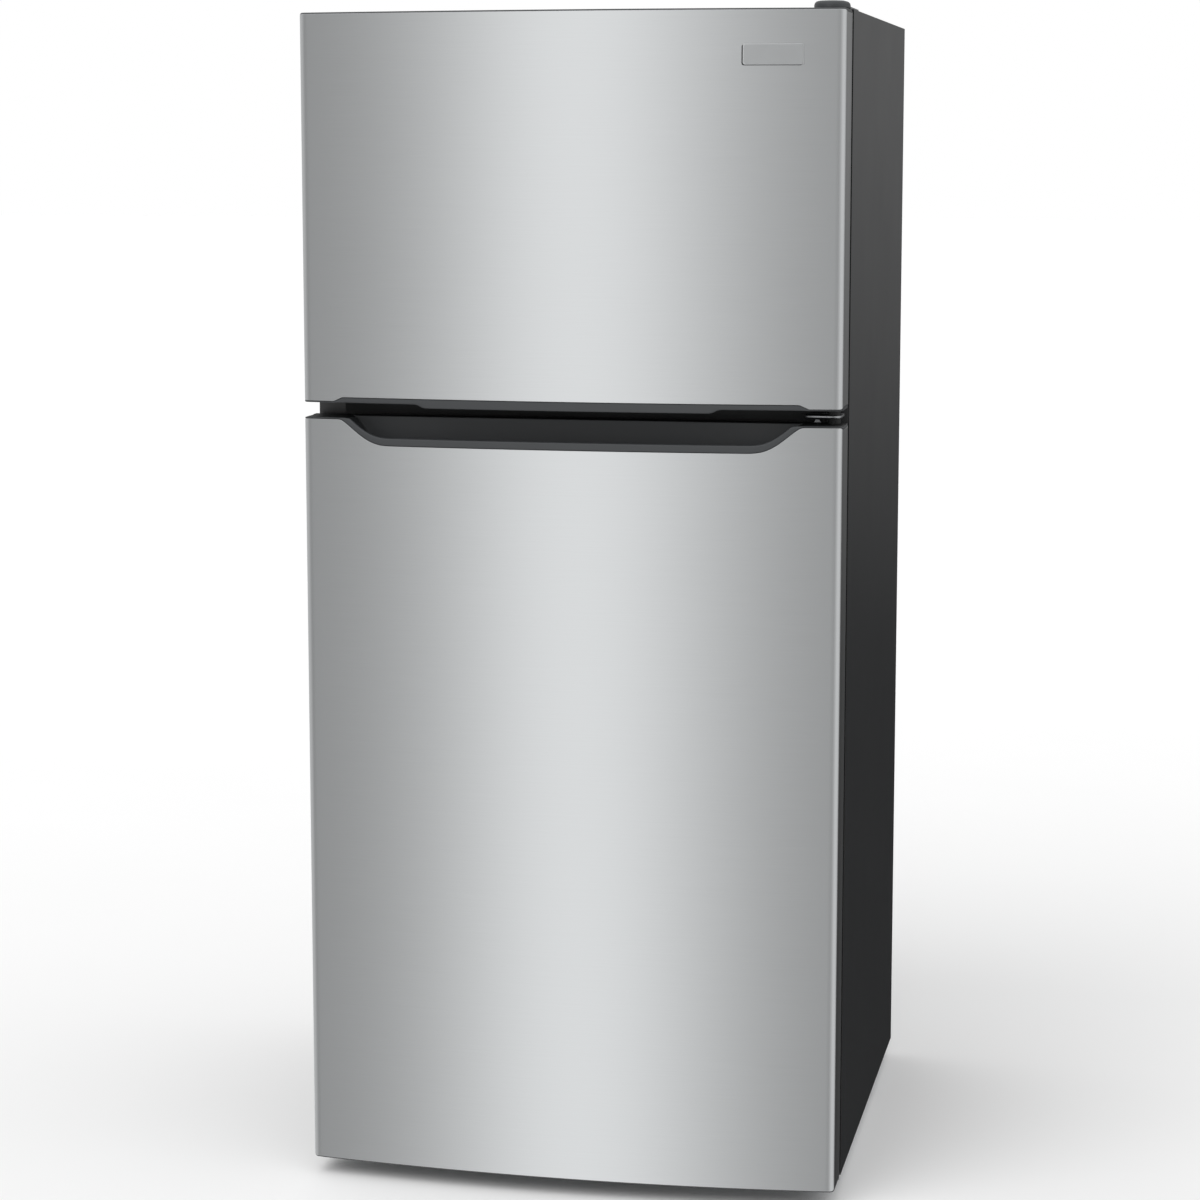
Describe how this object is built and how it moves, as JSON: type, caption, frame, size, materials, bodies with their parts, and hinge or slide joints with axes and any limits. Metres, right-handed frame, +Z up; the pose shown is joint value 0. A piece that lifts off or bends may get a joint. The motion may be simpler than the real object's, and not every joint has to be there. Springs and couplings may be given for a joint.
{
  "type": "top freezer refrigerator",
  "caption": "Upright refrigerator with a freezer above and a fresh food compartment below, crowned steel doors hinged on the right, pocket handles, drawers, shelves and door bins.",
  "frame": {"origin": "centre of the bounding box's footprint, on the floor", "axes": "+Z up, front (door side) towards -Y, +X to the right seen from the front, so the hinges are on +X"},
  "size_m": [0.76, 0.772, 1.674],
  "materials": {
    "charcoal_enamel": "satin",
    "galvanised_steel": "satin",
    "urethane_foam": "matte",
    "white_liner": "satin",
    "stainless_steel": "satin",
    "dark_trim": "satin",
    "gasket_vinyl": "matte",
    "hinge_steel": "satin",
    "zinc_screws": "satin",
    "plated_badge": "satin",
    "clear_bin_plastic": "gloss",
    "frosted_cover_plastic": "satin",
    "white_moulding": "satin",
    "shelf_glass": "gloss",
    "opal_lens": "satin",
    "white_wire": "gloss",
    "grey_controls": "satin",
    "black_enamel": "gloss",
    "copper_tube": "satin",
    "fin_aluminium": "satin",
    "motor_plastic": "matte",
    "fan_plastic": "satin",
    "rear_cover_board": "matte",
    "black_feet": "matte"
  },
  "bodies": {
    "cabinet": {"cabinet_shell": "charcoal_enamel", "center_rail": "charcoal_enamel", "back_panel": "galvanised_steel", "base_frame": "galvanised_steel", "foot_brackets": "galvanised_steel", "insulation": "urethane_foam", "freezer_liner": "white_liner", "fridge_liner": "white_liner", "evaporator_cover": "white_liner", "top_hinge_cover": "dark_trim", "top_hinge": "hinge_steel", "center_hinge": "hinge_steel", "bottom_hinge": "hinge_steel", "hinge_screws": "zinc_screws", "shelf_frames": "white_moulding", "crisper_cover_frame": "white_moulding", "control_housing": "white_moulding", "shelf_glass": "shelf_glass", "lamp_lens": "opal_lens", "freezer_shelf": "white_wire", "compressor": "black_enamel", "condenser_coil": "black_enamel", "refrigerant_tubes": "copper_tube", "evaporator_coil": "fin_aluminium", "defrost_heater": "fin_aluminium", "condenser_fan_motor": "motor_plastic", "evaporator_fan_motor": "motor_plastic", "defrost_drain": "motor_plastic", "compressor_cover": "rear_cover_board"},
    "freezer_door": {"freezer_door_skin": "stainless_steel", "freezer_door_foam": "urethane_foam", "freezer_door_liner": "white_liner", "freezer_door_gasket": "gasket_vinyl", "freezer_door_top_cap": "dark_trim", "freezer_handle_trim": "dark_trim", "freezer_door_bins": "clear_bin_plastic", "nameplate": "plated_badge"},
    "fridge_door": {"fridge_door_skin": "stainless_steel", "fridge_door_foam": "urethane_foam", "fridge_door_liner": "white_liner", "fridge_door_gasket": "gasket_vinyl", "fridge_door_bottom_cap": "dark_trim", "fridge_handle_trim": "dark_trim", "dairy_bin": "clear_bin_plastic", "fridge_door_bins": "clear_bin_plastic", "gallon_bin": "clear_bin_plastic"},
    "dairy_flap": {"dairy_cover": "frosted_cover_plastic"},
    "condenser_fan": {"condenser_fan": "fan_plastic"},
    "evaporator_fan": {"evaporator_fan": "fan_plastic"},
    "freezer_knob": {"freezer_knob": "grey_controls"},
    "fridge_knob": {"fridge_knob": "grey_controls"},
    "light_switch": {"light_switch": "white_moulding"},
    "crisper_left": {"crisper_left": "clear_bin_plastic"},
    "crisper_right": {"crisper_right": "clear_bin_plastic"},
    "humidity_slider_left": {"humidity_slider_left": "grey_controls"},
    "humidity_slider_right": {"humidity_slider_right": "grey_controls"},
    "leveling_leg_left": {"leveling_leg_left": "black_feet"},
    "leveling_leg_right": {"leveling_leg_right": "black_feet"},
    "rear_roller_left": {"rear_roller_left": "black_feet"},
    "rear_roller_right": {"rear_roller_right": "black_feet"}
  },
  "joints": [
    {"name": "door_freezer_hinge", "type": "hinge", "parent": "cabinet", "child": "freezer_door", "pos_m": [0.364, -0.325, 1.4], "axis": [0, 0, 1], "range_deg": [0, 125]},
    {"name": "door_fridge_hinge", "type": "hinge", "parent": "cabinet", "child": "fridge_door", "pos_m": [0.364, -0.325, 0.56], "axis": [0, 0, 1], "range_deg": [0, 125]},
    {"name": "dairy_cover_hinge", "type": "hinge", "parent": "fridge_door", "child": "dairy_flap", "pos_m": [0, -0.196, 1.03], "axis": [1, 0, 0], "range_deg": [0, 80]},
    {"name": "crisper_left_slide", "type": "slide", "parent": "cabinet", "child": "crisper_left", "axis": [0, -1, 0], "range_m": [0, 0.12]},
    {"name": "crisper_right_slide", "type": "slide", "parent": "cabinet", "child": "crisper_right", "axis": [0, -1, 0], "range_m": [0, 0.12]},
    {"name": "humidity_left_slide", "type": "slide", "parent": "cabinet", "child": "humidity_slider_left", "axis": [-1, 0, 0], "range_m": [0, 0.03]},
    {"name": "humidity_right_slide", "type": "slide", "parent": "cabinet", "child": "humidity_slider_right", "axis": [1, 0, 0], "range_m": [0, 0.03]},
    {"name": "knob_freezer_turn", "type": "hinge", "parent": "cabinet", "child": "freezer_knob", "pos_m": [-0.12, -0.08, 1.046], "axis": [0, 1, 0], "range_deg": [-135, 135]},
    {"name": "knob_fridge_turn", "type": "hinge", "parent": "cabinet", "child": "fridge_knob", "pos_m": [0.12, -0.08, 1.046], "axis": [0, 1, 0], "range_deg": [-135, 135]},
    {"name": "light_switch_slide", "type": "slide", "parent": "cabinet", "child": "light_switch", "axis": [0, -1, 0], "range_m": [0, 0.006]},
    {"name": "fan_evaporator_spin", "type": "hinge", "parent": "cabinet", "child": "evaporator_fan", "pos_m": [0, 0.262, 1.49], "axis": [0, 1, 0], "continuous": true},
    {"name": "fan_condenser_spin", "type": "hinge", "parent": "cabinet", "child": "condenser_fan", "pos_m": [-0.01, 0.268, 0.125], "axis": [1, 0, 0], "continuous": true},
    {"name": "leg_left_slide", "type": "slide", "parent": "cabinet", "child": "leveling_leg_left", "axis": [0, 0, -1], "range_m": [0, 0.012]},
    {"name": "leg_right_slide", "type": "slide", "parent": "cabinet", "child": "leveling_leg_right", "axis": [0, 0, -1], "range_m": [0, 0.012]},
    {"name": "roller_left_spin", "type": "hinge", "parent": "cabinet", "child": "rear_roller_left", "pos_m": [-0.3, 0.33, 0.018], "axis": [1, 0, 0], "continuous": true},
    {"name": "roller_right_spin", "type": "hinge", "parent": "cabinet", "child": "rear_roller_right", "pos_m": [0.3, 0.33, 0.018], "axis": [1, 0, 0], "continuous": true}
  ],
  "couplings": [
    {"joint": "light_switch_slide", "follows": "door_fridge_hinge", "m_per_rad": 0.00275}
  ]
}
